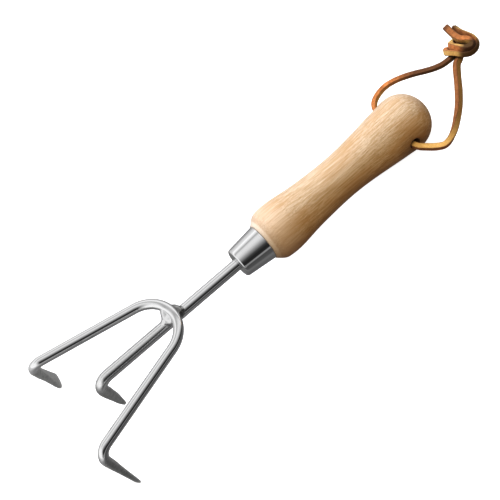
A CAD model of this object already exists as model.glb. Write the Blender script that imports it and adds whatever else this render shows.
# A three-tined hand cultivator: an ash grip with a loop of leather lace, a steel ferrule,
# a centre tine bar on the axis and one U-shaped bar, welded on top of it, whose ends are
# the outer tines.
#
# The frame is in metres; shapes are worked out in millimetres in the same frame: +X along
# the tool axis to the tines, +Z up, origin on the axis where the ferrule meets the wood.
import math

import bpy
import numpy as np
from mathutils import Matrix, Vector


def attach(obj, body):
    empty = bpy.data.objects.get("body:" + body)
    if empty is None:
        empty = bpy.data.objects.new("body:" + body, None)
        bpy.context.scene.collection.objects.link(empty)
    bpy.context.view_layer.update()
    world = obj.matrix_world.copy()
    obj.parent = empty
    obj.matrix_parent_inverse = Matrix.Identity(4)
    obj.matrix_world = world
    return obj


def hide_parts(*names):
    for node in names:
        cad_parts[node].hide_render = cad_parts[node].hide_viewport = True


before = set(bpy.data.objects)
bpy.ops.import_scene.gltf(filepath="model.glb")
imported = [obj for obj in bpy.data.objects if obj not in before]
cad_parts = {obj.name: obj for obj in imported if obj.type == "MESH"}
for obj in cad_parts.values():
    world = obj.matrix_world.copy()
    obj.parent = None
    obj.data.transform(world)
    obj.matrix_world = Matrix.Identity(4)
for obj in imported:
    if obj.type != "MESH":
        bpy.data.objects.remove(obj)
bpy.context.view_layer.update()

MM = 0.001
Y_AXIS = np.array([0, 1.0, 0])

# --------------------------------------------------------------- dimensions
ROD_R = 3.75                    # centre bar
OUTER_R = 3.25                  # outer bar
BEND_R = 8.0                    # centreline radius where a tine turns down

CENTRE_CORNER_X = 134.2         # where shank and tip lines of the centre tine cross
CENTRE_HOOK = math.radians(13.4)    # how far its tip leans back from vertical
CENTRE_TIP = 31.6               # from that crossing to the sharpened end
# chamfered tang end of the centre bar: (x, radius)
TANG_CHAMFER = [(-70.0, 2.55), (-69.85, 2.8), (-69.0, 3.6), (-68.7, ROD_R)]
TANG_SHANK_X = -68.0            # the even rings of the shank start here

APEX_X = 71.1                   # closed end of the U, over the centre bar
U_R = 20.9                      # centreline radius of the U
U_Z = ROD_R + OUTER_R + 0.02    # the U lies on top of the centre bar
SPLAY = math.radians(15.6)      # each leg of the U away from the axis
DROOP = math.radians(2.6)       # the plane of the U dips towards the tines
OUTER_TIP = 41.5                # from an outer corner to the sharpened end
# the two outer tines differ a little; keys are the sign of y
OUTER_CORNER_X = {1: 159.0, -1: 157.4}
OUTER_HOOK = {1: math.radians(7.4), -1: math.radians(9.0)}      # back towards the grip
OUTER_LEAN = {1: math.radians(9.8), -1: math.radians(10.9)}     # outwards

BLADE_W = 11.6                  # width at the sharpened end
BLADE_T = 2.2
BLADE_NOSE = 3.0                # length over which the corners round off
EDGE_T = 0.45                   # thickness left at the edge
BEVEL_SLOPE = 0.42              # thickness gained per millimetre from the edge
BAR_COLUMNS = 96                # vertices round a bar
BEND_STEPS = 39
TIP_RINGS = 22                  # rings at a tip over which unevenness fades out

HOLE_X = -111.0                 # cross hole for the lace, along Y


# ------------------------------------------------------------------ helpers
def unit(vector):
    vector = np.asarray(vector, float)
    return vector / np.linalg.norm(vector)


def unit_rows(vectors):
    return vectors / np.linalg.norm(vectors, axis=1, keepdims=True)


def add_mesh(name, vertices, faces, material, attributes=None):
    """Smooth-shaded object from millimetre vertices, with float attributes per vertex."""
    mesh = bpy.data.meshes.new(name)
    mesh.from_pydata((np.asarray(vertices) * MM).tolist(), [],
                     [list(map(int, face)) for face in faces])
    mesh.update()
    for key, values in (attributes or {}).items():
        layer = mesh.attributes.new(key, 'FLOAT', 'POINT')
        layer.data.foreach_set('value', np.asarray(values, np.float32))
    mesh.polygons.foreach_set('use_smooth', [True] * len(mesh.polygons))
    mesh.materials.append(material)
    piece = bpy.data.objects.new(name, mesh)
    bpy.context.scene.collection.objects.link(piece)
    return piece


def stand_in(piece, node, group):
    """Put a piece in place of a CAD node, moving with a group, under a material slot."""
    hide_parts(node)
    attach(piece, group)


def ring_faces(rows, columns, closed=False):
    """Quads between consecutive rings of vertices."""
    row = np.arange(rows if closed else rows - 1)[:, None]
    column = np.arange(columns)[None, :]
    this_ring = row * columns
    next_ring = ((row + 1) % rows) * columns
    next_column = (column + 1) % columns
    quads = [this_ring + column, this_ring + next_column,
             next_ring + next_column, next_ring + column]
    return np.stack(quads, -1).reshape(-1, 4).tolist()


def capped_tube(rings):
    """Vertices and faces of a tube closed by a fan at each end; fan centres come last."""
    rows, columns = rings.shape[:2]
    faces = ring_faces(rows, columns)
    first_centre = rows * columns
    last_ring = (rows - 1) * columns
    for j in range(columns):
        following = (j + 1) % columns
        faces.append([first_centre, following, j])
        faces.append([first_centre + 1, last_ring + j, last_ring + following])
    vertices = np.vstack([rings.reshape(-1, 3), rings[0].mean(0), rings[-1].mean(0)])
    return vertices, faces


def smoothstep(start, end, value):
    t = np.clip((value - start) / (end - start), 0, 1)
    return t * t * (3 - 2 * t)


def wobble(points, scale, seed):
    """Smooth noise of about -1 to 1 from nine plane waves, the same on every run."""
    random = np.random.RandomState(seed)
    total = np.zeros(len(points))
    weights = 0.0
    for k in range(9):
        direction = unit(random.normal(size=3))
        frequency = (0.6 + 1.5 * random.rand()) / scale
        weight = 1.0 / (1.0 + 0.35 * k)
        phase = 2 * np.pi * random.rand()
        total += weight * np.sin(2 * np.pi * frequency * (points @ direction) + phase)
        weights += weight
    return total / weights * 1.6


def smooth_min(a, b, radius):
    overlap = np.clip(radius - np.abs(a - b), 0, None)
    return np.minimum(a, b) - overlap * overlap / (4 * radius)


def smooth_max(a, b, radius):
    return -smooth_min(-a, -b, radius)


def surface_net(field, low, high, cell):
    """Closed quad mesh of field = 0 (negative inside), with vertices pulled onto it."""
    axes = [np.arange(low[k], high[k] + cell, cell) for k in range(3)]
    grid = np.meshgrid(*axes, indexing='ij')
    shape = grid[0].shape
    values = field(np.stack([g.ravel() for g in grid], -1)).reshape(shape)

    def at_corner(corner):
        return values[tuple(slice(corner[k], shape[k] - 1 + corner[k]) for k in range(3))]

    # one vertex in each cell the surface crosses, at the mean of its edge crossings
    cells = [size - 1 for size in shape]
    crossing_sum = np.zeros(cells + [3])
    crossing_count = np.zeros(cells)
    corners = list(np.ndindex(2, 2, 2))
    edges = [(a, b) for a in corners for b in corners
             if sum(b) - sum(a) == 1 and all(b[k] >= a[k] for k in range(3))]
    for start, end in edges:
        at_start, at_end = at_corner(start), at_corner(end)
        crosses = (at_start < 0) != (at_end < 0)
        t = np.where(crosses, at_start / np.where(crosses, at_start - at_end, 1), 0)
        for k in range(3):
            crossing_sum[..., k] += np.where(crosses, start[k] + t * (end[k] - start[k]), 0)
        crossing_count += crosses
    used = crossing_count > 0
    vertex_id = np.zeros(cells, int)
    vertex_id[used] = np.arange(used.sum())
    within = crossing_sum[used] / crossing_count[used][:, None]
    points = np.array(low) + (np.argwhere(used) + within) * cell

    # one quad round each grid edge the surface crosses
    inside = values < 0
    quads = []
    for axis in range(3):
        offset = [int(k == axis) for k in range(3)]
        here = inside[tuple(slice(0, shape[k] - offset[k]) for k in range(3))]
        ahead = inside[tuple(slice(offset[k], shape[k]) for k in range(3))]
        u, v = (axis + 1) % 3, (axis + 2) % 3
        edge = np.argwhere(here != ahead)
        edge = edge[(edge[:, u] > 0) & (edge[:, v] > 0)
                    & (edge[:, u] < shape[u] - 1) & (edge[:, v] < shape[v] - 1)]
        step_u, step_v = np.eye(3, dtype=int)[[u, v]]
        around = (edge - step_u - step_v, edge - step_v, edge, edge - step_u)
        quad = np.stack([vertex_id[tuple(index.T)] for index in around], -1)
        flip = ~here[tuple(edge.T)]
        quad[flip] = quad[flip][:, ::-1]
        quads.append(quad)

    # Newton steps along the gradient, each no longer than half a cell
    delta = 0.02
    for _ in range(4):
        gradient = np.stack([(field(points + delta * axis) - field(points - delta * axis))
                             / (2 * delta) for axis in np.eye(3)], -1)
        steepness = np.maximum((gradient ** 2).sum(-1, keepdims=True), 0.2)
        step = field(points)[:, None] * gradient / steepness
        length = np.linalg.norm(step, axis=-1, keepdims=True)
        points = points - step * np.minimum(1, 0.5 * cell / np.maximum(length, 1e-9))
    return points, np.concatenate(quads)


# ------------------------------------------------------------ shader graphs
def rgba(color):
    return (color, color, color, 1) if np.isscalar(color) else (*color, 1)


class Graph:
    """Short hands for building a shader node tree. A plain number as colour is a grey."""

    def __init__(self, tree):
        self.tree = tree
        self.coordinates = None

    def node(self, kind):
        return self.tree.nodes.new('ShaderNode' + kind)

    def link(self, output, socket):
        self.tree.links.new(output, socket)

    def feed(self, socket, value):
        if isinstance(value, bpy.types.NodeSocket):
            self.link(value, socket)
        else:
            socket.default_value = value

    def fill(self, node, inputs):
        for key, value in inputs.items():
            self.feed(node.inputs[key], value)

    def object_coordinates(self):
        if self.coordinates is None:
            self.coordinates = self.node('TexCoord')
        return self.coordinates.outputs['Object']

    def attribute(self, name):
        node = self.node('Attribute')
        node.attribute_name = name
        return node.outputs['Fac']

    def math(self, operation, *values, clamp=False):
        node = self.node('Math')
        node.operation = operation
        node.use_clamp = clamp
        self.fill(node, dict(enumerate(values)))
        return node.outputs[0]

    def add(self, a, b, clamp=False):
        return self.math('ADD', a, b, clamp=clamp)

    def subtract(self, a, b):
        return self.math('SUBTRACT', a, b)

    def multiply(self, a, b, clamp=False):
        return self.math('MULTIPLY', a, b, clamp=clamp)

    def linear(self, value, gain, offset):
        return self.add(self.multiply(value, gain), offset)

    def weighted_sum(self, a, weight_a, b, weight_b):
        return self.add(self.multiply(a, weight_a), self.multiply(b, weight_b))

    def swing(self, noise, span):
        """A 0 to 1 noise centred on zero and widened to span."""
        return self.multiply(self.subtract(noise, 0.5), span)

    def hypotenuse(self, a, b):
        return self.math('SQRT', self.add(self.multiply(a, a), self.multiply(b, b)))

    def vector_math(self, operation, *vectors):
        node = self.node('VectorMath')
        node.operation = operation
        self.fill(node, dict(enumerate(vectors)))
        return node.outputs['Value' if operation == 'DOT_PRODUCT' else 0]

    def separate(self, vector):
        node = self.node('SeparateXYZ')
        self.link(vector, node.inputs[0])
        return node.outputs

    def mapping(self, scale, offset=(0, 0, 0), rotation=(0, 0, 0), vector=None):
        node = self.node('Mapping')
        self.link(vector or self.object_coordinates(), node.inputs['Vector'])
        self.fill(node, {'Scale': scale, 'Location': offset, 'Rotation': rotation})
        return node.outputs[0]

    def noise(self, frequency, detail, roughness, distortion=0.0, **placing):
        """Noise with its own frequency along each axis; placing goes to the mapping."""
        vector = self.mapping(frequency, **placing)
        node = self.node('TexNoise')
        self.fill(node, {'Vector': vector, 'Scale': 1.0, 'Detail': detail,
                         'Roughness': roughness, 'Distortion': distortion})
        return node.outputs['Fac']

    def ramp(self, factor, *stops):
        """Colour ramp through (position, colour) stops."""
        node = self.node('ValToRGB')
        node.color_ramp.interpolation = 'LINEAR'
        elements = node.color_ramp.elements
        while len(elements) < len(stops):
            elements.new(0.5)
        for element, (position, color) in zip(elements, stops):
            element.position = position
            element.color = rgba(color)
        self.link(factor, node.inputs[0])
        return node.outputs[0]

    def mix(self, factor, a, b, mode='MIX'):
        node = self.node('Mix')
        node.data_type = 'RGBA'
        node.blend_type = mode
        self.feed(node.inputs[0], factor)
        for index, value in ((6, a), (7, b)):
            is_socket = isinstance(value, bpy.types.NodeSocket)
            self.feed(node.inputs[index], value if is_socket else rgba(value))
        return node.outputs[2]

    def stain(self, color, toward, mask, strength, clamp=False):
        """Take a colour part of the way toward another where the mask is set."""
        return self.mix(self.multiply(mask, strength, clamp=clamp), color, toward)

    def remap(self, value, start, end, to=(0.0, 1.0)):
        """Map start..end to the range `to`, clamped."""
        node = self.node('MapRange')
        self.fill(node, dict(enumerate((value, start, end, *to))))
        return node.outputs[0]

    def bump(self, height, strength, distance):
        node = self.node('Bump')
        self.fill(node, {'Strength': strength, 'Distance': distance, 'Height': height})
        return node.outputs[0]


def new_material(name):
    material = bpy.data.materials.new(name)
    material.use_nodes = True
    tree = material.node_tree
    tree.nodes.clear()
    output = tree.nodes.new('ShaderNodeOutputMaterial')
    surface = tree.nodes.new('ShaderNodeBsdfPrincipled')
    tree.links.new(surface.outputs[0], output.inputs[0])
    return material, Graph(tree), surface


# ---------------------------------------------------------------- materials
def steel_material(name, base, roughness, heat_tinted=False):
    """Polished bar of grey `base`; the attribute 'satin' takes it to the dull forged ends,
    'ground' to the bevel, and 'tint' to heat colour where heat_tinted."""
    material, graph, surface = new_material(name)
    satin = graph.attribute('satin')
    ground = graph.attribute('ground')
    # draw marks along the bar, soft clouding, satin mottle, small pits and grinding marks
    draw = graph.noise((60, 2200, 2200), detail=3.0, roughness=0.6)
    cloud = graph.noise((90, 90, 90), detail=3.0, roughness=0.6)
    mottle = graph.noise((520, 520, 520), detail=5.0, roughness=0.68, distortion=0.4)
    pits = graph.ramp(graph.noise((1500, 1500, 1500), detail=2.0, roughness=0.5),
                      (0.30, 0.0), (0.42, 1.0))
    grind = graph.noise((260, 260, 2600), detail=3.0, roughness=0.6, rotation=(0.3, 0.5, 0.2))

    polished = graph.mix(cloud, base * 0.93, (base * 1.04, base * 1.04, base * 1.05))
    dull = graph.mix(graph.ramp(mottle, (0.30, 0.0), (0.68, 1.0)),
                     (0.46, 0.46, 0.455), (0.68, 0.68, 0.672))
    color = graph.mix(satin, polished, dull)
    bevel = graph.mix(grind, (0.58, 0.58, 0.56), (0.84, 0.84, 0.82))
    color = graph.mix(ground, color, bevel)
    if heat_tinted:
        tint = graph.attribute('tint')
        heat = graph.ramp(graph.add(tint, graph.swing(cloud, span=0.5)),
                          (0.0, base), (0.35, 0.44), (0.7, (0.26, 0.26, 0.255)),
                          (1.0, (0.17, 0.17, 0.168)))
        color = graph.stain(color, heat, mask=tint, strength=1.0, clamp=True)

    polished_rough = graph.linear(draw, gain=0.07, offset=roughness - 0.035)
    dull_rough = graph.linear(mottle, gain=0.22, offset=0.27)
    bevel_rough = graph.linear(grind, gain=0.15, offset=0.24)
    rough = graph.mix(ground, graph.mix(satin, polished_rough, dull_rough), bevel_rough)

    polished_relief = graph.weighted_sum(draw, 0.5, cloud, 0.6)
    dull_relief = graph.add(mottle, graph.multiply(pits, 0.35))
    # relief is a tenth as deep where polished and half as deep on the bevel
    relief = graph.mix(
        ground,
        graph.mix(satin, graph.multiply(polished_relief, 0.10), dull_relief),
        graph.multiply(grind, 0.5))
    graph.fill(surface, {
        'Base Color': color,
        'Metallic': 1.0,
        'Roughness': rough,
        'Normal': graph.bump(relief, strength=0.55, distance=0.00006),
    })
    return material


PITH_Y, PITH_Z = -31.0, 25.0    # centre of the growth rings, beside the handle
RING_PITCH = 1.9
# unit vector across the tool, towards +Y and down, away from the bright side of the studio
SHADE_Y, SHADE_Z = 0.831, -0.557

# ash colours
LIGHT_WOOD = (0.685, 0.575, 0.425), (0.815, 0.715, 0.570)
DARK_WOOD = (0.540, 0.395, 0.235), (0.650, 0.510, 0.330)
FIBRE_FINE = (0.46, 0.315, 0.165)
FIBRE_COARSE = (0.47, 0.315, 0.155)
PORE = (0.285, 0.170, 0.078)
SCORCH = (0.170, 0.088, 0.036)
HOLE_WALL = (0.050, 0.027, 0.013)
GRIME = (0.52, 0.37, 0.21)
PATCH = (0.52, 0.325, 0.150)
TURNED_DOWN = (0.76, 0.61, 0.46)
RAW_CHAMFER = (0.98, 0.90, 0.76)
AMBER = (0.97, 0.84, 0.58)


def wood_material():
    material, graph, surface = new_material("ash_oiled")
    # millimetre coordinates, with the grain following the tool axis
    position = graph.mapping((1000, 1000, 1000))

    def grain_noise(along, across, detail, roughness, offset=(0, 0, 0)):
        return graph.noise((along, across, across), detail=detail, roughness=roughness,
                           offset=offset, vector=position)

    # growth rings: shells about a pith that drifts along the handle
    drift_y = grain_noise(along=0.010, across=0.045, detail=2.0, roughness=0.5)
    drift_z = grain_noise(along=0.012, across=0.05, detail=2.0, roughness=0.5,
                          offset=(7, 3, 1))
    x, y, z = graph.separate(position)
    from_pith_y = graph.add(graph.add(y, -PITH_Y), graph.swing(drift_y, span=17.0))
    from_pith_z = graph.add(graph.add(z, -PITH_Z), graph.swing(drift_z, span=17.0))
    radius = graph.hypotenuse(from_pith_y, from_pith_z)
    radius = graph.add(radius, graph.multiply(x, 0.030))    # the shells taper along x
    ring = graph.math('FRACT', graph.math('DIVIDE', radius, RING_PITCH))
    late = graph.ramp(ring, (0.0, 0.0), (0.10, 0.10), (0.34, 0.62), (0.80, 1.0),
                      (0.93, 0.88), (1.0, 0.0))

    # fibres and open pores, long in x
    fibre = grain_noise(along=0.055, across=3.6, detail=4.0, roughness=0.62)
    coarse_fibre = grain_noise(along=0.020, across=1.1, detail=3.0, roughness=0.55,
                               offset=(3, 9, 2))
    pore_noise = grain_noise(along=0.13, across=4.6, detail=2.0, roughness=0.55,
                             offset=(1, 5, 8))
    pore = graph.ramp(pore_noise, (0.57, 0.0), (0.66, 1.0))
    early = graph.subtract(1.0, late)
    pore = graph.multiply(pore, graph.linear(early, gain=0.85, offset=0.18), clamp=True)
    cloud = grain_noise(along=0.022, across=0.06, detail=3.0, roughness=0.55,
                        offset=(11, 2, 5))
    light = graph.mix(cloud, *LIGHT_WOOD)
    dark = graph.mix(cloud, *DARK_WOOD)
    dark_share = graph.add(graph.multiply(early, 0.38), 0.0, clamp=True)
    color = graph.mix(dark_share, light, dark)
    color = graph.mix(graph.ramp(fibre, (0.34, 0.62), (0.60, 0.0)), color, FIBRE_FINE)
    color = graph.mix(graph.ramp(coarse_fibre, (0.36, 0.66), (0.58, 0.0)), color,
                      FIBRE_COARSE)
    color = graph.stain(color, PORE, mask=pore, strength=0.72)

    # the cross hole is dark round its mouths and darker inside
    from_hole_x = graph.add(x, -HOLE_X)
    from_hole = graph.hypotenuse(from_hole_x, z)
    from_hole = graph.add(from_hole, graph.swing(cloud, span=5.0))
    soot = graph.remap(from_hole, 3.0, 15.0, to=(0.75, 0.0))
    color = graph.stain(color, SCORCH, mask=soot, strength=0.85, clamp=True)
    inside = graph.math('LESS_THAN', graph.hypotenuse(from_hole_x, z), 3.6)
    color = graph.stain(color, HOLE_WALL, mask=inside, strength=0.8)

    # handling grime in the waist, about x = -60
    from_waist = graph.math('ABSOLUTE', graph.add(x, 60.0))
    waist = graph.multiply(graph.remap(from_waist, 10.0, 48.0, to=(1.0, 0.0)),
                           graph.ramp(cloud, (0.35, 0.0), (0.75, 1.0)))
    color = graph.stain(color, GRIME, mask=waist, strength=0.16)
    patch_noise = grain_noise(along=0.035, across=0.11, detail=4.0, roughness=0.62,
                              offset=(4, 8, 13))
    patch = graph.ramp(patch_noise, (0.44, 0.0), (0.66, 1.0))
    color = graph.stain(color, PATCH, mask=patch, strength=0.50)

    # paler where the grip is turned down to the ferrule, with a bright raw chamfer
    blush = graph.remap(graph.add(x, graph.swing(cloud, span=12.0)), -24.0, -10.0)
    color = graph.stain(color, TURNED_DOWN, mask=blush, strength=0.44)
    color = graph.stain(color, RAW_CHAMFER, mask=graph.remap(x, -2.6, -1.8), strength=0.45)

    # oil has ambered the side that lies away from the light
    shade_side = graph.subtract(graph.multiply(y, SHADE_Y), graph.multiply(z, -SHADE_Z))
    honey = graph.remap(shade_side, -1.0, 15.0)
    honey = graph.multiply(honey, graph.subtract(1.0, graph.multiply(blush, 0.8)))
    color = graph.mix(honey, color, graph.mix(1.0, color, AMBER, mode='MULTIPLY'))

    rough = graph.linear(fibre, gain=0.16, offset=0.36)
    rough = graph.add(rough, graph.multiply(pore, 0.25))
    # fibres and late wood stand proud, pores are sunk
    relief = graph.subtract(graph.multiply(fibre, 0.5), graph.multiply(pore, 0.9))
    relief = graph.add(relief, graph.multiply(late, 0.35))
    graph.fill(surface, {
        'Base Color': color,
        'Roughness': rough,
        'Specular IOR Level': 0.24,
        'Sheen Weight': 0.16,
        'Sheen Roughness': 0.4,
        'Coat Weight': 0.07,
        'Coat Roughness': 0.30,
        'Normal': graph.bump(relief, strength=0.45, distance=0.00014),
    })
    return material


# leather colours; pairs are the ends of a mottled mix
GRAIN_FACE = (0.420, 0.160, 0.050), (0.780, 0.350, 0.118)
GRAIN_CREASE = (0.110, 0.040, 0.014)
RAW_FACE = (0.560, 0.330, 0.090), (0.880, 0.620, 0.250)
RAW_FLECK = (0.350, 0.180, 0.050)
SOIL = (0.060, 0.030, 0.014)
WORN_EDGE = (0.080, 0.036, 0.015)
DEEP_CREASE = (0.055, 0.026, 0.011)


def leather_material():
    """'cut' is 1 on the raw cut faces and 0 on the dyed ones; 'edge' marks the corners
    of the lace and 'soil' the dirt."""
    material, graph, surface = new_material("lace_leather")
    cut = graph.attribute('cut')
    edge = graph.attribute('edge')
    position = graph.mapping((1000, 1000, 1000))
    pebbles = graph.node('TexVoronoi')
    pebbles.feature = 'DISTANCE_TO_EDGE'
    graph.fill(pebbles, {'Vector': position, 'Scale': 1.9})
    pebble = graph.ramp(pebbles.outputs['Distance'], (0.0, 0.0), (0.14, 1.0))
    mottle = graph.noise((0.35, 0.35, 0.35), detail=4.0, roughness=0.6, vector=position)
    fine = graph.noise((3.2, 3.2, 3.2), detail=3.0, roughness=0.6, vector=position)
    fibre = graph.noise((1.3, 1.3, 1.3), detail=4.0, roughness=0.7, distortion=1.2,
                        vector=position)

    grain = graph.mix(graph.ramp(mottle, (0.30, 0.0), (0.70, 1.0)), *GRAIN_FACE)
    grain = graph.stain(grain, GRAIN_CREASE, mask=graph.subtract(1.0, pebble),
                        strength=0.45)
    raw = graph.mix(graph.ramp(fibre, (0.28, 0.0), (0.72, 1.0)), *RAW_FACE)
    raw = graph.mix(graph.ramp(fine, (0.30, 0.35), (0.55, 0.0)), raw, RAW_FLECK)
    color = graph.mix(cut, grain, raw)
    color = graph.stain(color, SOIL, mask=graph.attribute('soil'), strength=0.95)
    color = graph.stain(color, WORN_EDGE, mask=edge, strength=0.55)
    crease = graph.node('AmbientOcclusion')
    crease.samples = 8
    crease.inputs['Distance'].default_value = 0.0035
    shadow = graph.remap(crease.outputs['AO'], 0.25, 0.85, to=(0.80, 0.0))
    color = graph.mix(shadow, color, DEEP_CREASE)

    rough = graph.add(graph.multiply(cut, 0.26),
                      graph.linear(mottle, gain=0.16, offset=0.36))
    relief = graph.mix(cut, graph.weighted_sum(pebble, 0.6, fine, 0.3),
                       graph.weighted_sum(fibre, 0.8, fine, 0.5))
    graph.fill(surface, {
        'Base Color': color,
        'Roughness': rough,
        'Specular IOR Level': 0.30,
        'Sheen Weight': 0.05,
        'Normal': graph.bump(relief, strength=0.6, distance=0.00018),
    })
    return material


def epoxy_material():
    """Cloudy yellow resin with pale bubbles."""
    material, graph, surface = new_material("cured_epoxy")
    cloud = graph.noise((240, 240, 240), detail=4.0, roughness=0.6)
    cells = graph.node('TexVoronoi')
    graph.link(graph.mapping((900, 900, 900)), cells.inputs['Vector'])
    bubbles = graph.ramp(cells.outputs['Distance'], (0.10, 1.0), (0.22, 0.0))
    color = graph.mix(cloud, (0.52, 0.44, 0.27), (0.70, 0.62, 0.42))
    color = graph.stain(color, (0.85, 0.80, 0.64), mask=bubbles, strength=0.4)
    graph.fill(surface, {
        'Base Color': color,
        'Roughness': graph.linear(cloud, gain=0.2, offset=0.18),
        'Normal': graph.bump(graph.add(cloud, bubbles), strength=0.4, distance=0.0001),
    })
    return material


# --------------------------------------------------------------- tine bars
ROUND = np.linspace(0, 2 * np.pi, BAR_COLUMNS, endpoint=False)
# 0 on the outside of a bend, 1 on the inside, for each vertex round the bar
INNER = (1 - np.sin(ROUND)) / 2

# Forging of the flat. Stations run 0..1 from its start to the sharpened end. At each
# station: half width, half depth of the oval, and half distance between the hammered faces.
# All but the end values set by the blade are multiples of the bar radius.
OVAL_STATIONS = [0, 0.18, 0.45, 0.75, 1.0]
OVAL_WIDTHS = [1, 1.02, 1.20]           # then 0.90 and 1 of half the blade width
OVAL_DEPTHS = [1, 1.02, 0.92, 0.78, 0.70]
FACE_STATIONS = [-0.2, 0.0, 0.22, 0.5, 0.8, 1.0]
FACE_DEPTHS = [1.25, 1.06, 0.88, 0.66, 0.46]    # then half the blade thickness
FLAT_START = -0.19              # sections before this station are plain circles
WIDTH_POWER = 0.94
NOSE_POWER = 2.4
BEVEL_START = (BLADE_T - EDGE_T) / BEVEL_SLOPE  # distance from the end


def blade_section(station, to_end, radius):
    """Offsets across and through a bar, round in the shank and flat at its end."""
    half_width = np.interp(station, OVAL_STATIONS, [radius * k for k in OVAL_WIDTHS]
                           + [0.90 * BLADE_W / 2, BLADE_W / 2])
    half_depth = np.interp(station, OVAL_STATIONS, [radius * k for k in OVAL_DEPTHS])
    face = np.interp(station, FACE_STATIONS,
                     [radius * k for k in FACE_DEPTHS] + [BLADE_T / 2])
    # one bevel, ground on the outer face; the inner face stays flat to the edge
    bevel = -BLADE_T / 2 + EDGE_T + BEVEL_SLOPE * to_end
    cosine = np.cos(ROUND)
    width = half_width * np.sign(cosine) * np.abs(cosine) ** WIDTH_POWER
    blend = 0.30 if station > 0 else 0.6
    depth = smooth_min(half_depth * np.sin(ROUND), min(face, bevel), blend)
    depth = smooth_max(depth, -face, blend)
    if to_end < BLADE_NOSE:
        into_nose = 1 - to_end / BLADE_NOSE
        if into_nose < 1:
            width = width * (1 - into_nose ** NOSE_POWER) ** (1 / NOSE_POWER)
        else:
            width = width * 0.0
    return width, depth


def dressed(to_end, width, depth):
    """1 where the edge is ground bright: the bevel, and fainter a crescent on the inner
    face."""
    outer_face = smoothstep(-0.25, 0.25, BEVEL_START - to_end)
    reach = 4.1 + 0.9 * (1 - (width / (BLADE_W / 2)) ** 2)
    crescent = smoothstep(-0.3, 0.3, reach - to_end)
    return np.where(depth > -BLADE_T / 2 + 0.25, outer_face, 0.55 * crescent)


def blade_stations(length):
    """Distances along the flat, closer together towards the end."""
    fine_start = length - 9
    nose_start = length - BLADE_NOSE
    quarter = np.linspace(0, math.pi / 2, 26)
    return (list(np.arange(0, fine_start, 0.55))
            + list(np.arange(fine_start, nose_start, 0.3))
            + list(nose_start + BLADE_NOSE * np.sin(quarter)))


class Bend:
    """Arc of radius BEND_R that turns a bar from its heading to its tip direction."""

    def __init__(self, corner, heading, tip):
        self.heading = heading
        self.tip = tip
        self.turn = math.acos(float(np.clip(heading @ tip, -1, 1)))
        self.axis = unit(np.cross(heading, tip))
        self.setback = BEND_R * math.tan(self.turn / 2)
        self.start = corner - heading * self.setback
        self.end = corner + tip * self.setback
        self.centre = self.start + np.cross(self.axis, heading) * BEND_R

    def rotate(self, vector, angle):
        return vector * math.cos(angle) + np.cross(self.axis, vector) * math.sin(angle)


class Bar:
    """Rings of a bar with its satin and ground values. side = -1 keeps the section
    upright where the bar is traced the other way."""

    def __init__(self, radius, side=1):
        self.radius = radius
        self.side = side
        self.rings = []
        self.satin = []
        self.ground = []

    def add(self, position, tangent, across, width, depth, satin=0.0, ground=0.0):
        through = np.cross(tangent, across) * self.side
        self.rings.append(position + np.outer(width, across) + np.outer(depth, through))
        self.satin.append(np.ones(BAR_COLUMNS) * satin)
        self.ground.append(np.ones(BAR_COLUMNS) * ground)

    def add_round(self, position, tangent, across, radius=None, satin=0.0):
        radius = radius or self.radius
        self.add(position, tangent, across, radius * np.cos(ROUND), radius * np.sin(ROUND),
                 satin)

    def add_hook(self, bend, across, tip_length, satin_start, satin_delay):
        """The bend and the flat blade beyond it. The dull scale starts on the inside of
        the bend, at satin_start of its arc, and satin_delay later on the outside."""
        length = tip_length - bend.setback
        arc_length = BEND_R * bend.turn
        dull_from = satin_start + satin_delay * (1 - INNER)
        for step in range(1, BEND_STEPS + 1):
            share = step / BEND_STEPS
            angle = bend.turn * share
            position = bend.centre + bend.rotate(bend.start - bend.centre, angle)
            tangent = bend.rotate(bend.heading, angle)
            station = -(1 - share) * arc_length / length
            satin = smoothstep(dull_from, dull_from + 0.22, share)
            if station > FLAT_START:
                # far from the end, so that no bevel is cut
                width, depth = blade_section(station, 99, self.radius)
                self.add(position, tangent, across, width, depth, satin)
            else:
                self.add_round(position, tangent, across, satin=satin)
        for distance in blade_stations(length)[1:]:
            to_end = length - distance
            width, depth = blade_section(distance / length, to_end, self.radius)
            self.add(bend.end + bend.tip * distance, bend.tip, across, width, depth,
                     satin=1.0, ground=dressed(to_end, width, depth))


def roughen(rings, weight, seed):
    """Push the forged parts in and out by a few hundredths of a millimetre."""
    outward = rings - rings.mean(1, keepdims=True)
    outward = outward / np.maximum(np.linalg.norm(outward, axis=-1, keepdims=True), 1e-6)
    push = wobble(rings.reshape(-1, 3), 9.0, seed) * 0.07 * weight.ravel()
    return rings + outward * push.reshape(rings.shape[:2])[..., None]


def with_cap_values(values):
    """Values for every ring vertex, then one for each end cap's centre."""
    flat = np.asarray(values).ravel()
    return np.append(flat, [flat[0], flat[-1]])


def add_bar(name, node, rings, satin, ground, material):
    vertices, faces = capped_tube(rings)
    attributes = {"satin": with_cap_values(satin), "ground": with_cap_values(ground)}
    piece = add_mesh(name, vertices, faces, material, attributes)
    stand_in(piece, node, "tool")
    return piece


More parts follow.
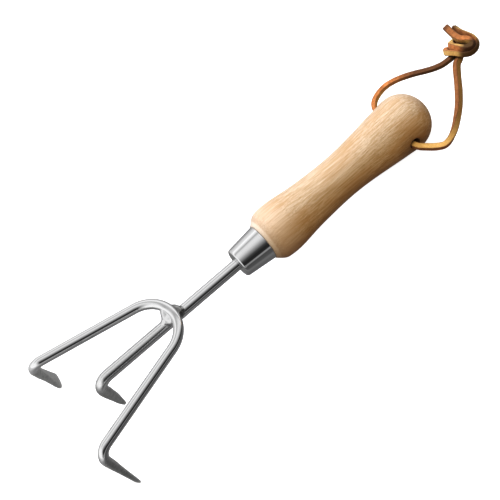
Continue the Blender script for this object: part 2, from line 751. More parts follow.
def centre_tine(material):
    heading = np.array([1.0, 0, 0])
    tip = np.array([-math.sin(CENTRE_HOOK), 0, -math.cos(CENTRE_HOOK)])
    bend = Bend(np.array([CENTRE_CORNER_X, 0, 0]), heading, tip)
    bar = Bar(ROD_R)
    for x, radius in TANG_CHAMFER:
        bar.add_round(np.array([x, 0, 0]), heading, Y_AXIS, radius)
    for x in np.linspace(TANG_SHANK_X, bend.start[0], 150):
        bar.add_round(np.array([x, 0, 0]), heading, Y_AXIS)
    bar.add_hook(bend, Y_AXIS, CENTRE_TIP, satin_start=0.30, satin_delay=0.55)

    rings = np.array(bar.rings)
    forged = np.array(bar.satin)
    # the tine beyond the weld has lost some of its polish
    worn = 0.30 * smoothstep(APEX_X + 6, APEX_X + 16, rings.mean(1)[:, 0])
    satin = np.maximum(forged, worn[:, None])
    fade = np.ones(len(rings))
    fade[-TIP_RINGS:] = np.linspace(1, 0, TIP_RINGS)
    rings = roughen(rings, forged * fade[:, None], seed=11)
    return add_bar("centre_tine_bar", "centre_rod", rings, satin, bar.ground, material)


# the plane of the U: origin at its apex, forward and normal directions
U_ORIGIN = np.array([APEX_X, 0, U_Z])
U_FORWARD = np.array([math.cos(DROOP), 0, -math.sin(DROOP)])
U_NORMAL = np.array([math.sin(DROOP), 0, math.cos(DROOP)])
# where the round of the U runs into a straight leg, forward and sideways
TANGENT_X = U_R - U_R * math.sin(SPLAY)
TANGENT_Y = U_R * math.cos(SPLAY)


def on_u(forward, y):
    return U_ORIGIN + U_FORWARD * forward + Y_AXIS * y


def outer_directions(side):
    """Corner, leg direction and tip direction of the outer tine on one side."""
    run = (OUTER_CORNER_X[side] - APEX_X) / math.cos(DROOP) - TANGENT_X
    corner = on_u(TANGENT_X + run, side * (TANGENT_Y + run * math.tan(SPLAY)))
    leg = U_FORWARD * math.cos(SPLAY) + Y_AXIS * side * math.sin(SPLAY)
    level_leg = np.array([math.cos(SPLAY), side * math.sin(SPLAY), 0])
    outwards = np.array([-math.sin(SPLAY), side * math.cos(SPLAY), 0])
    lean, hook = OUTER_LEAN[side], OUTER_HOOK[side]
    down = np.array([0, 0, -1.0]) * math.cos(lean) + outwards * math.sin(lean)
    tip = unit(down * math.cos(hook) - level_leg * math.sin(hook))
    return corner, leg, tip


def outer_half(side):
    """Half of the outer bar, from the apex of the U to one tip."""
    corner, leg, tip = outer_directions(side)
    bend = Bend(corner, leg, tip)
    bar = Bar(OUTER_R, side)
    # round of the U
    centre = on_u(U_R, 0)
    for angle in np.linspace(0, math.pi / 2 - SPLAY, 60):
        sine, cosine = math.sin(angle), math.cos(angle)
        position = centre - U_FORWARD * U_R * cosine + Y_AXIS * side * U_R * sine
        tangent = U_FORWARD * sine + Y_AXIS * side * cosine
        bar.add_round(position, tangent, unit(np.cross(U_NORMAL, tangent)) * side)
    # straight leg, along which the section twists to suit the bend
    start = on_u(TANGENT_X, side * TANGENT_Y)
    leg_across = unit(np.cross(U_NORMAL, leg)) * side
    bend_across = bend.axis * side
    twist = math.atan2(float(np.dot(np.cross(leg_across, bend_across), leg)),
                       float(leg_across @ bend_across))
    for share in np.linspace(0, 1, 100)[1:]:
        angle = twist * share
        across = leg_across * math.cos(angle) + np.cross(leg, leg_across) * math.sin(angle)
        bar.add_round(start + (bend.start - start) * share, leg, across)
    bar.add_hook(bend, bend_across, OUTER_TIP, satin_start=0.26, satin_delay=0.60)
    return bar


def outer_tines(material):
    right, left = outer_half(-1), outer_half(1)
    # one bar from the -Y tip round the apex to the +Y tip; the halves share the apex ring
    rings = np.array(right.rings[::-1] + left.rings[1:])
    satin = np.array(right.satin[::-1] + left.satin[1:])
    ground = right.ground[::-1] + left.ground[1:]
    fade = np.ones(len(rings))
    fade[-TIP_RINGS:] = np.linspace(1, 0, TIP_RINGS)
    fade[:TIP_RINGS] = np.linspace(0, 1, TIP_RINGS)
    rings = roughen(rings, satin * fade[:, None], seed=23)
    return add_bar("outer_tine_bar", "outer_tines", rings, satin, ground, material)


# ------------------------------------------------------------------- welds
def centre_bar_distance(points):
    return np.hypot(points[:, 1], points[:, 2]) - ROD_R


def outer_bar_distance(points):
    """Distance to the U bar, round and legs."""
    local = points - U_ORIGIN
    forward, y, up = local @ U_FORWARD, local[:, 1], local @ U_NORMAL
    from_centre = np.hypot(forward - U_R, y)
    ring = np.hypot(from_centre - U_R, up) - OUTER_R
    # legs beyond the tangent points
    leg_x, leg_y = forward - TANGENT_X, np.abs(y) - TANGENT_Y
    along = leg_x * math.cos(SPLAY) + leg_y * math.sin(SPLAY)
    aside = -leg_x * math.sin(SPLAY) + leg_y * math.cos(SPLAY)
    leg = np.hypot(aside, up) - OUTER_R
    return np.where(along > 0, leg, np.where(forward < U_R, ring, np.minimum(ring, leg)))


def rear_tint(x, y, z):
    near = np.clip(1.05 - np.abs(x - (APEX_X - 3.8)) / 7.5, 0, 1)
    return near * (0.50 + 0.50 * smoothstep(-3.0, 2.2, y))


def front_tint(x, y, z):
    return 0.04 + 0.30 * smoothstep(0.5, 4.5, y) * smoothstep(-1, 3, 6.0 - z)


# The beads behind (-X) and ahead (+X) of the apex. All x are measured from the apex.
# fillet: blend radius between the bars; pools: (x, y, z, radius) of filler run into the
# corner; x_range, half_y: sampled box; reach: half axes in x and y of the ellipsoid that
# bounds the bead.
REAR_WELD = dict(
    name="weld_bead_rear", node="rear_weld", direction=-1, fillet=6.6, seed=6,
    pools=[(-4.0, 0.6, 4.3, 1.8), (-3.0, 3.0, 4.6, 1.5), (-3.0, -2.4, 4.8, 1.4)],
    x_range=(-10.5, 1), half_y=7.5, reach=(9.7, 6.6), tint=rear_tint)
FRONT_WELD = dict(
    name="weld_bead_front", node="front_weld", direction=1, fillet=6.4, seed=5,
    pools=[(4.4, 0.0, 4.5, 2.7), (3.6, 3.4, 5.3, 2.1), (3.4, -3.9, 5.4, 2.2),
           (7.4, -0.4, 3.1, 1.3)],
    x_range=(-1, 14.5), half_y=9.5, reach=(13.6, 8.8), tint=front_tint)
WELD_BOTTOM, WELD_TOP = -4.4, U_Z + 4.0
WELD_CELL = 0.34


def weld(material, name, node, direction, fillet, seed, pools, x_range, half_y, reach, tint):
    def field(points):
        centre_bar = centre_bar_distance(points)
        outer_bar = outer_bar_distance(points)
        bead = smooth_min(centre_bar, outer_bar, fillet)
        for x, y, z, radius in pools:
            pool = np.linalg.norm(points - np.array((APEX_X + x, y, z)), axis=1) - radius
            bead = smooth_min(bead, pool, 3.2)
        # a hand-run bead is never quite even; away from the corner it sinks into the bars
        near = np.clip(1 - np.abs(centre_bar - outer_bar) / fillet, 0, 1)
        bead = bead - 0.11 * wobble(points, 4.2, seed) * near + 0.05 + 0.25 * (1 - near)
        # keep only this side of the apex, near the joint
        bead = smooth_max(bead, (APEX_X - points[:, 0]) * direction, 0.2)
        keep = np.hypot((points[:, 0] - APEX_X) / reach[0],
                        np.hypot(points[:, 1] / reach[1], (points[:, 2] - 5.0) / 8.6))
        return smooth_max(bead, (keep - 1) * 4.0, 0.5)

    points, quads = surface_net(field, (APEX_X + x_range[0], -half_y, WELD_BOTTOM),
                                (APEX_X + x_range[1], half_y, WELD_TOP), WELD_CELL)
    zero = np.zeros(len(points))
    piece = add_mesh(name, points, quads, material,
                     {"tint": tint(*points.T), "satin": zero, "ground": zero})
    stand_in(piece, node, "tool")


# ----------------------------------------------------------------- ferrule
FERRULE_LENGTH = 20.9
FERRULE_REAR_R = 12.05
FERRULE_FRONT_R = 9.8
FERRULE_LIP = 1.45              # radius of the front shoulder
FERRULE_ROLL = 0.45             # radius of the rolled-in rear edge
FERRULE_RIM = 0.4               # easing round the hole
FERRULE_FRONT_T = 1.6           # thickness of the front wall
FERRULE_DISH = 0.28
FERRULE_BORE_R = ROD_R + 0.10
FERRULE_COLUMNS = 192


def ferrule_profile():
    """Closed outline as (x, radius), from the rear edge over the outside and back."""
    length = FERRULE_LENGTH
    slope = (FERRULE_FRONT_R - FERRULE_REAR_R) / length
    quarter = np.linspace(0, math.pi / 2, 7)
    outline = [(FERRULE_ROLL * (1 - math.cos(a)),
                FERRULE_REAR_R - FERRULE_ROLL * (1 - math.sin(a))) for a in quarter]
    outline += [(x, FERRULE_REAR_R + slope * x)
                for x in np.linspace(0.8, length - FERRULE_LIP - 0.35, 40)]
    # rounded front shoulder, starting at the slope of the cone
    lip_x, lip_r = length - FERRULE_LIP, FERRULE_FRONT_R - FERRULE_LIP + 0.02
    outline += [(lip_x + FERRULE_LIP * math.cos(a), lip_r + FERRULE_LIP * math.sin(a))
                for a in np.linspace(math.pi / 2 - 0.107, 0, 16)]
    # slightly dished front face down to the hole, with an eased rim
    for radius in np.linspace(lip_r - 0.5, ROD_R + 1.0, 14):
        share = min(max((radius - ROD_R) / (lip_r - ROD_R), 0), 1)
        outline.append((length - FERRULE_DISH * math.sin(math.pi * share), radius))
    outline += [(length - FERRULE_RIM * (1 - math.cos(a)),
                 FERRULE_BORE_R + FERRULE_RIM * (1 - math.sin(a))) for a in quarter]
    # back through the bore, out along the front wall and down the inside
    wall_x = length - FERRULE_FRONT_T
    inner_front = FERRULE_FRONT_R - 1.03
    outline.append((wall_x, FERRULE_BORE_R))
    outline += [(wall_x, r) for r in np.linspace(ROD_R + 0.6, inner_front - 0.3, 6)]
    outline += [(x, np.interp(x, [0, wall_x], [FERRULE_REAR_R - 1.2, inner_front]))
                for x in np.linspace(length - 1.7, 0.3, 20)]
    outline.append((0.0, FERRULE_REAR_R - 1.1))
    return outline


def ferrule(material):
    profile = ferrule_profile()[::-1]
    angle = np.linspace(0, 2 * np.pi, FERRULE_COLUMNS, endpoint=False)
    rings = [np.stack([np.full(FERRULE_COLUMNS, x), radius * np.cos(angle),
                       radius * np.sin(angle)], -1) for x, radius in profile]
    vertices = np.concatenate(rings)
    faces = [face[::-1] for face in ring_faces(len(profile), FERRULE_COLUMNS, closed=True)]
    zero = np.zeros(len(vertices))
    piece = add_mesh("ferrule_cap", vertices, faces, material,
                     {"satin": zero, "ground": zero})
    stand_in(piece, "ferrule", "tool")


# ------------------------------------------------------------------ handle
# outline of the grip behind its front chamfer: (x, radius)
GRIP = [(-2.2, 14.5), (-5.0, 16.5), (-8.0, 17.2), (-11.5, 17.45), (-18.0, 17.32),
        (-25.0, 16.51), (-32.0, 15.67), (-39.0, 15.06), (-46.0, 14.6), (-53.0, 14.25),
        (-60.0, 14.08), (-67.0, 14.14), (-74.0, 14.46), (-81.0, 15.02), (-88.0, 15.76),
        (-95.0, 16.57), (-102.0, 17.37), (-109.0, 18.1), (-116.0, 18.65)]
CHAMFER_X, CHAMFER_R = GRIP[0]
FRONT_FACE_R = 12.6
BUTT_X, BUTT_R = GRIP[-1]       # where the domed end begins
BUTT_END_X = -133.8
SPIGOT_X = 18.5                 # turned spigot inside the ferrule
SPIGOT_RADII = [10.80, 8.98]    # at x = 0 and at its end
HOLE_R = 3.3
BORE_R = 4.15                   # for the tang
BORE_END_X = -72.0
HANDLE_LOW = (-135.2, -20.1, -20.1)
HANDLE_HIGH = (19.6, 20.1, 20.1)
HANDLE_CELL = 0.62


def cubic_spline(knots, values):
    """Interpolating cubic, level at the first knot and free at the last."""
    count = len(knots)
    gaps = np.diff(knots)
    matrix = np.zeros((count, count))
    right_side = np.zeros(count)
    for i in range(1, count - 1):
        matrix[i, i - 1:i + 2] = gaps[i - 1], 2 * (gaps[i - 1] + gaps[i]), gaps[i]
        right_side[i] = 6 * ((values[i + 1] - values[i]) / gaps[i]
                             - (values[i] - values[i - 1]) / gaps[i - 1])
    matrix[0, :2] = 2 * gaps[0], gaps[0]
    right_side[0] = 6 * ((values[1] - values[0]) / gaps[0])
    matrix[-1, -1] = 1
    curve = np.linalg.solve(matrix, right_side)

    def evaluate(x):
        i = np.clip(np.searchsorted(knots, x) - 1, 0, count - 2)
        to_next, from_last, gap = knots[i + 1] - x, x - knots[i], gaps[i]
        return ((curve[i] * to_next ** 3 + curve[i + 1] * from_last ** 3) / (6 * gap)
                + (values[i] / gap - curve[i] * gap / 6) * to_next
                + (values[i + 1] / gap - curve[i + 1] * gap / 6) * from_last)
    return evaluate


def handle_outline():
    """Finely sampled x, radius and slope of the whole grip."""
    grip = np.array(GRIP)[::-1]
    spline = cubic_spline(grip[:, 0], grip[:, 1])
    x = np.linspace(BUTT_END_X, 0.0, 2677)
    into_dome = (x - BUTT_X) / (BUTT_END_X - BUTT_X)
    dome = BUTT_R * np.sqrt(np.clip(1 - into_dome ** 2, 0, 1))
    chamfer = FRONT_FACE_R + (CHAMFER_R - FRONT_FACE_R) * (x / CHAMFER_X)
    grip_radius = spline(np.clip(x, BUTT_X, CHAMFER_X))
    radius = np.where(x < BUTT_X, dome, np.where(x > CHAMFER_X, chamfer, grip_radius))
    return x, radius, np.gradient(radius, x)


OUTLINE_X, OUTLINE_R, OUTLINE_SLOPE = handle_outline()


def handle_field(points):
    x, y, z = points.T
    from_axis = np.hypot(y, z)
    radius = np.interp(x, OUTLINE_X, OUTLINE_R)
    slope = np.interp(x, OUTLINE_X, OUTLINE_SLOPE)
    side = (from_axis - radius) / np.sqrt(1 + np.clip(slope, -3, 3) ** 2)
    # the domed end as a scaled ellipsoid, which stays smooth at its pole
    dome_length = BUTT_X - BUTT_END_X
    dome_x, dome_r = (x - BUTT_X) / dome_length, from_axis / BUTT_R
    level = np.sqrt(dome_x ** 2 + dome_r ** 2)
    gradient = np.sqrt((dome_x / dome_length) ** 2 + (dome_r / BUTT_R) ** 2)
    gradient = gradient / np.maximum(level, 1e-6)
    dome = (level - 1) / np.maximum(gradient, 1e-3)
    body = np.where(x < BUTT_X, dome, side)
    body = smooth_max(body, x, 0.25)
    spigot = np.maximum(from_axis - np.interp(x, [0, SPIGOT_X], SPIGOT_RADII),
                        np.maximum(x - SPIGOT_X, -x - 3))
    body = np.minimum(body, spigot)
    # cross hole with eased mouths
    body = smooth_max(body, HOLE_R - np.hypot(x - HOLE_X, z), 1.9)
    bore = np.minimum(BORE_R - from_axis, x - BORE_END_X)
    body = smooth_max(body, bore, 0.2)
    # slow unevenness of hand sanding on the grip, a few hundredths of a millimetre
    stretched = points * np.array([0.35, 1, 1])
    return body + 0.06 * wobble(stretched, 16.0, 31) * (x < -6)


def handle(material):
    vertices, quads = surface_net(handle_field, HANDLE_LOW, HANDLE_HIGH, HANDLE_CELL)
    piece = add_mesh("ash_grip", vertices, quads, material)
    stand_in(piece, "handle", "tool")
    return vertices


def dress_adhesive():
    """The adhesive round the tang keeps its CAD shape and gets a material."""
    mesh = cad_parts["tang_adhesive"].data
    mesh.materials.clear()
    mesh.materials.append(epoxy_material())
    for polygon in mesh.polygons:
        polygon.material_index = 0


# ----------------------------------------------------------- leather thong
# The loop lies in a plane through the cross hole that rises towards the back. Path points
# are (back from the hole, y, up out of the plane).
LOOP_TILT = math.radians(15.0)
LOOP_BACK = np.array([-math.cos(LOOP_TILT), 0, math.sin(LOOP_TILT)])
LOOP_AXES = np.array([LOOP_BACK, Y_AXIS, np.cross(Y_AXIS, LOOP_BACK)])
LOOP_ORIGIN = np.array([HOLE_X, 0, 0])

# the loop's strands from inside the hole to the knot: (back, y)
LOOP_MINUS_Y = [(0, -2.0), (0, -9.0), (0, -15.0), (0.25, -18.6), (1.5, -22.4), (4.2, -25.4),
                (9.2, -27.2), (15.9, -27.2), (23.0, -24.5), (28.8, -20.8), (34.1, -16.6),
                (39.1, -12.1), (44.3, -8.0), (49.0, -5.4), (54.1, -4.0)]
LOOP_PLUS_Y = [(0, 2.0), (-0.4, 9.0), (-1.1, 15.0), (-1.0, 18.3), (0.0, 21.3), (2.2, 24.9),
               (6.3, 30.6), (10.6, 34.3), (15.0, 34.4), (20.9, 32.4), (27.8, 28.2),
               (34.8, 22.9), (42.2, 15.6), (49.1, 7.7), (54.2, 2.4)]

# an overhand knot tied in both strands together, then the free ends: (back, y, up)
KNOT_MINUS_Y = [
    (57.8, -4.2, -1.2), (61.5, -5.6, -2.2), (64.6, -6.4, -2.6), (66.4, -7.4, -3.2),
    (65.8, -9.4, -4.4), (63.2, -10.6, -4.8), (60.2, -11.6, -4.4), (57.9, -12.0, -2.8),
    (56.4, -9.6, -0.6), (56.9, -6.1, 2.0), (59.0, -1.4, 3.4), (61.0, 3.0, 3.4),
    (64.4, 5.4, 2.2), (69.1, 5.0, 0.8), (72.5, 2.1, 0.2), (73.3, -2.0, 0.8),
    (72.3, -6.5, 1.6), (71.3, -11.4, 1.8), (71.2, -16.2, 1.8)]
KNOT_PLUS_Y = [
    (57.7, 0.8, -0.3), (61.3, -2.0, -1.2), (65.1, -3.5, -1.8), (68.5, -3.6, -2.0),
    (70.4, -5.4, -2.4), (70.0, -9.2, -3.6), (67.8, -12.4, -4.6), (64.6, -13.0, -4.4),
    (62.1, -11.3, -2.0), (61.3, -7.9, 1.6), (62.0, -3.1, 4.0), (64.2, 2.1, 4.3),
    (67.4, 3.6, 3.1), (69.8, 1.9, 2.8), (69.4, -1.6, 3.6), (67.2, -5.4, 4.1),
    (67.2, -10.8, 3.3), (67.8, -15.6, 2.8), (68.3, -19.9, 2.5)]
KNOT_CENTRE = np.array([64.5, -4.5, -1.2])

# Entries with steps are a start value and (change, from, to) steps along the strand.
# thickness and roll (turn of the dyed face about the lace, radians) go by distance from
# the hole; knot_turn (the same within the knot, degrees) by distance from the free end.
# dyed: (depth, fade in from, to, fade out from, to), where the cut faces lose their
# raw look; soil: (strength, from, to).
STRANDS = [
    dict(loop=LOOP_MINUS_Y, knot=KNOT_MINUS_Y, seed=2,
         thickness=(3.3, (-0.15, 30, 50)),
         roll=(0.0, (math.radians(100), 78, 104)),
         knot_turn=(90,),
         dyed=(0.75, 26, 44, 60, 78), soil=(0.84, 38, 62)),
    dict(loop=LOOP_PLUS_Y, knot=KNOT_PLUS_Y, seed=4,
         thickness=(3.85, (0.05, 22, 40)),
         roll=(math.pi / 2, (-math.pi / 2, 30, 62), (0.44, 36, 58)),
         knot_turn=(22, (-30, -24, -15)),
         dyed=(0.12, 44, 62, 78, 90), soil=(0.50, 34, 54)),
]
LACE_STEP = 0.62                # spacing of rings along the lace
LACE_SIZE = 3.1                 # side of the section before scaling to its thickness
LACE_CORNER_R = 0.55


def stepped(distance, start, *steps):
    value = np.full(len(distance), float(start))
    for change, begin, end in steps:
        value += change * smoothstep(begin, end, distance)
    return value


def catmull_rom(points, per_span=12):
    """Centripetal-like smooth path through the points."""
    points = np.array(points, float)
    points = np.vstack([2 * points[0] - points[1], points, 2 * points[-1] - points[-2]])
    path = []
    for i in range(1, len(points) - 2):
        before, start, end, after = points[i - 1:i + 3]
        gap_in, gap, gap_out = [max(np.linalg.norm(b - a), 1e-6) ** 0.5
                                for a, b in ((before, start), (start, end), (end, after))]
        leave = end - start + gap * ((start - before) / gap_in
                                     - (end - before) / (gap_in + gap))
        arrive = end - start + gap * ((after - end) / gap_out
                                      - (after - start) / (gap + gap_out))
        for t in np.linspace(0, 1, per_span, endpoint=False):
            path.append((2 * t ** 3 - 3 * t ** 2 + 1) * start
                        + (t ** 3 - 2 * t ** 2 + t) * leave
                        + (-2 * t ** 3 + 3 * t ** 2) * end
                        + (t ** 3 - t ** 2) * arrive)
    path.append(points[-2])
    return np.array(path)


def distances(path):
    return np.r_[0, np.cumsum(np.linalg.norm(np.diff(path, axis=0), axis=1))]


def resample(path, step):
    distance = distances(path)
    count = max(int(round(distance[-1] / step)), 4)
    even = np.linspace(0, distance[-1], count + 1)
    return np.stack([np.interp(even, distance, path[:, k]) for k in range(3)], -1)


def lace_section():
    """Rounded square: its points, and the 'cut' and 'edge' values round it."""
    half = LACE_SIZE / 2
    radius = LACE_CORNER_R
    near, far = -half + radius, half - radius
    # corner centres with the angle at which each arc begins
    corners = [(far, far, 0), (near, far, 90), (near, near, 180), (far, near, 270)]
    points, edge = [], []
    for index, (x, y, begin) in enumerate(corners):
        for degrees in np.linspace(0, 90, 5):
            angle = math.radians(begin + degrees)
            points.append((x + radius * math.cos(angle), y + radius * math.sin(angle)))
            on_arc = 0 < degrees < 90
            edge.append(math.sin(math.radians(2 * degrees)) ** 0.7 if on_arc else 0.12)
        next_x, next_y, _ = corners[(index + 1) % 4]
        side_start = points[-1]
        side_end = (next_x + radius * math.cos(angle), next_y + radius * math.sin(angle))
        for t in (0.2, 0.5, 0.8):
            points.append((side_start[0] + (side_end[0] - side_start[0]) * t,
                           side_start[1] + (side_end[1] - side_start[1]) * t))
            edge.append(0.0)
    # the two faces across the width are cut, the other two dyed
    cut = []
    for x, y in points:
        face = int(np.argmax([y / half, -x / half, -y / half, x / half]))
        cut.append(1.0 if face in (1, 3) else 0.0)
    return np.array(points), np.array(cut), np.array(edge)


def lace_mesh(path, face_hints, scale, cut_scale, seed):
    """Square lace swept along a path; the hints point out of its dyed face."""
    section, cut, edge = lace_section()
    tangent = unit_rows(np.gradient(path, axis=0))
    face = unit_rows(face_hints - (face_hints * tangent).sum(1, keepdims=True) * tangent)
    across = np.cross(tangent, face)
    # uneven cutting: the size varies at random every 12 rings
    count = len(path)
    knots = np.arange(0, count + 12, 12)
    draws = np.random.RandomState(seed).uniform(-1, 1, (count + 12) // 12 + 1)
    unevenness = np.interp(np.arange(count), knots, draws[:len(knots)])
    scale = (1 + 0.035 * unevenness) * scale
    rings = []
    for i in range(count):
        sized = section * scale[i]
        rings.append(path[i] + np.outer(sized[:, 0], across[i])
                     + np.outer(sized[:, 1], face[i]))
    rings = np.array(rings)
    # eased cut ends
    ends = []
    for i, outward in ((0, -1), (-1, 1)):
        centre = rings[i].mean(0)
        ends.append(centre + (rings[i] - centre) * 0.86 + tangent[i] * outward * 0.28)
    rings = np.vstack([ends[0][None], rings, ends[1][None]])
    vertices, faces = capped_tube(rings)
    cuts = np.tile(cut, (len(rings), 1)) * np.pad(cut_scale, 1, mode='edge')[:, None]
    cuts[0] = cuts[-1] = 1
    edges = np.tile(edge, (len(rings), 1))
    edges[0] = edges[-1] = 0.4
    cuts = np.append(cuts.ravel(), [1, 1])
    edges = np.append(edges.ravel(), [0.1, 0.1])
    push = 0.05 * wobble(vertices, 2.6, seed)[:, None]
    return vertices + push * unit([0.3, 0.5, 0.8]), faces, cuts, edges


def face_directions(path, in_knot, roll, knot_turn):
    """Where the dyed face points: rolled from up in the loop, from outwards in the knot."""
    tangent = unit_rows(np.gradient(path, axis=0))
    up = np.array([0, 0, 1.0])
    roll = roll[:, None]
    in_loop = up * np.cos(roll) + np.cross(tangent, up) * np.sin(roll)
    radial = (path - KNOT_CENTRE) * [0.6, 1, 1]
    length = np.linalg.norm(path * 0 + (path - KNOT_CENTRE), axis=1, keepdims=True)
    length = np.linalg.norm(radial, axis=1, keepdims=True)
    radial = radial / np.maximum(length, 1e-6)
    turn = np.radians(knot_turn)[:, None]
    radial = radial * np.cos(turn) + np.cross(radial, tangent) * np.sin(turn)
    share = in_knot[:, None]
    return in_loop * (1 - share) + radial * share


def lace_soil(path, distance, past_knot_start, soil):
    """Handling dirt: up the strand, where it turns back in the knot, and at its end."""
    from_end = distance - distance[-1]
    strength, begin, end = soil
    strand = (strength * smoothstep(begin, end, distance)
              * (1 - smoothstep(0, 6, past_knot_start)))
    plus_y_side = (np.clip((path[:, 1] + 0.9) / 3.0, 0, 1)
                   * smoothstep(58.5, 61.5, path[:, 0])
                   * (1 - smoothstep(-22, -14, from_end)))
    free_end = (0.36 * smoothstep(-20, -9, from_end)
                + 0.45 * smoothstep(-4.5, -0.5, from_end))
    return np.maximum(np.maximum(strand, 0.97 * plus_y_side), free_end)


def strand_mesh(loop, knot, seed, thickness, roll, knot_turn, dyed, soil):
    """Vertices, faces and the cut, edge and soil values of one strand."""
    path = resample(catmull_rom([(back, y, 0.0) for back, y in loop] + knot), LACE_STEP)
    world = LOOP_ORIGIN + path @ LOOP_AXES
    distance = distances(world)
    knot_start = np.argmax(path[:, 0] > 62.5)
    past_knot_start = distance - distance[knot_start]
    in_knot = smoothstep(60.5, 66.0, path[:, 0])
    in_knot[knot_start:] = np.maximum(in_knot[knot_start:],
                                      smoothstep(0, 4, past_knot_start[knot_start:]))
    hints = face_directions(path, in_knot, stepped(distance, *roll),
                            stepped(distance - distance[-1], *knot_turn))
    size = stepped(distance, *thickness) + 0.30 * in_knot
    depth, in_from, in_to, out_from, out_to = dyed
    cut_scale = 1 - (depth * smoothstep(in_from, in_to, distance)
                     * (1 - smoothstep(out_from, out_to, distance)))
    vertices, faces, cuts, edges = lace_mesh(world, hints @ LOOP_AXES, size / LACE_SIZE,
                                             cut_scale, seed)
    dirt = np.pad(lace_soil(path, distance, past_knot_start, soil), 1, mode='edge')
    columns = (len(vertices) - 2) // len(dirt)
    dirt = np.append(np.repeat(dirt, columns), [dirt[0], dirt[-1]])
    return vertices, faces, cuts, edges, dirt


def thong(material):
    first, second = [strand_mesh(**strand) for strand in STRANDS]
    offset = len(first[0])
    faces = first[1] + [[i + offset for i in face] for face in second[1]]
    vertices, cuts, edges, dirt = [np.concatenate([first[k], second[k]])
                                   for k in (0, 2, 3, 4)]
    piece = add_mesh("lace_loop", vertices, faces, material,
                     {"cut": cuts, "edge": edges, "soil": dirt})
    stand_in(piece, "leather_thong", "thong")


# --------------------------------------------------------- floor and studio
FLOOR_HALF = 2.6                # metres
FLOOR_GAP = 0.15                # millimetres below the contact points

# grey of the floor in reflections: (y in metres, grey)
FLOOR_Y_RANGE = (-0.20, 0.30)
FLOOR_REFLECTION = [(-0.16, 0.95), (-0.075, 0.60), (-0.045, 0.41), (-0.02, 0.34),
                    (0.0, 0.28), (0.025, 0.28), (0.042, 0.40), (0.054, 0.36),
                    (0.066, 0.22), (0.10, 0.17), (0.25, 0.13)]

# grey of the surroundings: (degrees round the tool axis, grey). Zero is up and towards
# +Y, and angles grow over +Y towards down.
STUDIO = [(-180, 0.42), (-150, 0.48), (-128, 0.78), (-112, 0.96), (-98, 1.12), (-89, 1.42),
          (-80, 1.24), (-71, 0.90), (-66, 0.60), (-61, 0.86), (-54, 1.08), (-46, 1.14),
          (-34, 1.08), (-23, 0.92), (-10, 0.58), (2, 0.33), (12, 0.12), (26, 0.045),
          (42, 0.05), (47, 0.44), (53, 0.44), (59, 0.17), (72, 0.14), (92, 0.22),
          (119, 0.31), (180, 0.42)]


def contact_points(outer_bar, grip):
    """The tool rests on its two outer tips and the underside of the grip."""
    bar = np.array([v.co for v in outer_bar.data.vertices]) / MM
    left, right = bar[bar[:, 1] > 20], bar[bar[:, 1] < -20]
    left_tip = left[np.argmin(left[:, 2])]
    right_tip = right[np.argmin(right[:, 2])]
    tips = (left_tip + right_tip) / 2
    # the line from the tips back to the grip touches where the slope is least steep
    rear = grip[grip[:, 0] < -60]
    slope = (rear[:, 2] - tips[2]) / (rear[:, 0] - tips[0])
    x, _, z = rear[int(np.argmax(slope))]
    return left_tip, right_tip, np.array([x, 0.0, z])


def floor_material():
    """A pale floor to the camera, graded card to reflections, warm brown to soft light."""
    material, graph, surface = new_material("pale_floor")
    rays = graph.node('LightPath').outputs
    x, y, _ = graph.separate(graph.object_coordinates())
    # what the bars see: bright on the -Y side and ahead, dark on +Y and behind
    low, high = FLOOR_Y_RANGE
    stops = [((y_stop - low) / (high - low), grey) for y_stop, grey in FLOOR_REFLECTION]
    card = graph.ramp(graph.remap(y, low, high), *stops)
    card = graph.mix(graph.remap(x, 0.015, 0.065, to=(0.45, 0.0)), card, 0.13)
    reflected = graph.mix(graph.remap(x, 0.17, 0.34), card, 0.85)
    seen = graph.mix(graph.noise((6, 6, 6), detail=2.0, roughness=0.5), 0.38, 0.41)
    color = graph.mix(rays['Is Glossy Ray'], (0.120, 0.060, 0.016), 0.0)
    color = graph.mix(rays['Is Camera Ray'], color, seen)
    graph.fill(surface, {
        'Roughness': 0.9,
        'Specular IOR Level': 0.1,
        'Base Color': color,
        'Emission Color': graph.mix(rays['Is Camera Ray'], reflected, 0.93),
        'Emission Strength': graph.math('MAXIMUM', rays['Is Camera Ray'],
                                        rays['Is Glossy Ray']),
    })
    return material


def add_floor(outer_bar, grip):
    left_tip, right_tip, grip_point = contact_points(outer_bar, grip)
    normal = unit(np.cross(left_tip - right_tip, grip_point - right_tip))
    if normal[2] < 0:
        normal = -normal
    centre = normal * ((left_tip - normal * FLOOR_GAP) @ normal)
    along = unit(np.cross([0, 1, 0], normal))
    across = np.cross(normal, along)
    mesh = bpy.data.meshes.new("floor")
    corners = [tuple(centre * MM + along * i * FLOOR_HALF + across * j * FLOOR_HALF)
               for i, j in ((-1, -1), (1, -1), (1, 1), (-1, 1))]
    mesh.from_pydata(corners, [], [(0, 1, 2, 3)])
    floor = bpy.data.objects.new("floor", mesh)
    bpy.context.scene.collection.objects.link(floor)
    mesh.materials.append(floor_material())


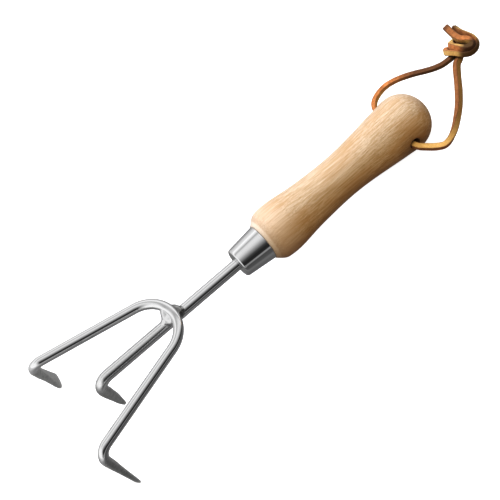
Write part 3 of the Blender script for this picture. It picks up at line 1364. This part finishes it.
def add_world(scene):
    """What the polished bars reflect, and the soft light from all round."""
    world = bpy.data.worlds.new("studio")
    scene.world = world
    world.use_nodes = True
    world.node_tree.nodes.clear()
    graph = Graph(world.node_tree)
    output = graph.node('OutputWorld')
    background = graph.node('Background')
    coordinates = graph.node('TexCoord')
    direction = graph.vector_math('NORMALIZE', coordinates.outputs['Generated'])
    toward_zero = graph.vector_math('DOT_PRODUCT', direction, (0.0, -SHADE_Z, SHADE_Y))
    toward_shade = graph.vector_math('DOT_PRODUCT', direction, (0.0, SHADE_Y, SHADE_Z))
    angle = graph.math('ARCTAN2', toward_shade, toward_zero)
    reflection = graph.ramp(graph.remap(angle, -math.pi, math.pi),
                            *[((degrees + 180.0) / 360.0, grey) for degrees, grey in STUDIO])
    ahead = graph.vector_math('DOT_PRODUCT', direction, (1.0, 0.0, 0.0))
    reflection = graph.mix(graph.remap(ahead, 0.55, 0.85), reflection, 1.35)
    rays = graph.node('LightPath').outputs
    # diffuse light: warm from the shade side, cool from the other
    soft = graph.mix(graph.remap(toward_shade, 0.7, -0.7), (0.24, 0.118, 0.022),
                     (0.58, 0.61, 0.70))
    color = graph.mix(rays['Is Diffuse Ray'], reflection, soft)
    color = graph.mix(rays['Is Camera Ray'], color, 1.3)
    graph.fill(background, {'Color': color, 'Strength': 1.0})
    graph.link(background.outputs[0], output.inputs[0])


def add_area_light(scene, name, location, size, power, color):
    """Square lamp aimed at the origin and hidden from reflections."""
    data = bpy.data.lights.new(name, 'AREA')
    data.shape = 'SQUARE'
    data.size = size
    data.energy = power
    data.color = color
    lamp = bpy.data.objects.new(name, data)
    lamp.location = location
    lamp.rotation_euler = (-Vector(location)).to_track_quat('-Z', 'Y').to_euler()
    lamp.visible_glossy = False
    scene.collection.objects.link(lamp)


CAMERA_PLACE = (0.14559, 0.47941, 0.70679)
CAMERA_RIGHT = (-0.75089, 0.60417, -0.26673)
CAMERA_UP = (-0.6414, -0.57091, 0.51251)
CAMERA_BACK = (0.15736, 0.55592, 0.81621)


def add_camera(scene):
    data = bpy.data.cameras.new("camera")
    camera = bpy.data.objects.new("camera", data)
    scene.collection.objects.link(camera)
    data.sensor_width = 36.0
    data.lens = 101.85
    data.clip_start = 0.05
    data.clip_end = 20.0
    turn = Matrix((CAMERA_RIGHT, CAMERA_UP, CAMERA_BACK)).transposed()
    camera.matrix_world = Matrix.Translation(CAMERA_PLACE) @ turn.to_4x4()
    scene.camera = camera


# -------------------------------------------------------------------- build
bar_steel = steel_material("polished_bar", base=0.70, roughness=0.105)
ferrule_steel = steel_material("polished_ferrule", base=0.72, roughness=0.075)
weld_steel = steel_material("weld_bead", base=0.64, roughness=0.20, heat_tinted=True)
wood = wood_material()
leather = leather_material()

centre_tine(bar_steel)
outer_bar = outer_tines(bar_steel)
weld(weld_steel, **REAR_WELD)
weld(weld_steel, **FRONT_WELD)
ferrule(ferrule_steel)
grip_vertices = handle(wood)
dress_adhesive()
thong(leather)

scene = bpy.context.scene
add_floor(outer_bar, grip_vertices)
add_world(scene)
add_area_light(scene, "key", location=(0.05, -1.05, 0.95), size=0.75, power=20.0,
               color=(0.95, 0.99, 1.22))
add_area_light(scene, "top", location=(0.05, 0.25, 1.6), size=1.6, power=16.0,
               color=(1.0, 0.86, 0.56))
add_camera(scene)
scene.view_settings.view_transform = 'Standard'
scene.view_settings.look = 'None'
scene.view_settings.gamma = 0.8
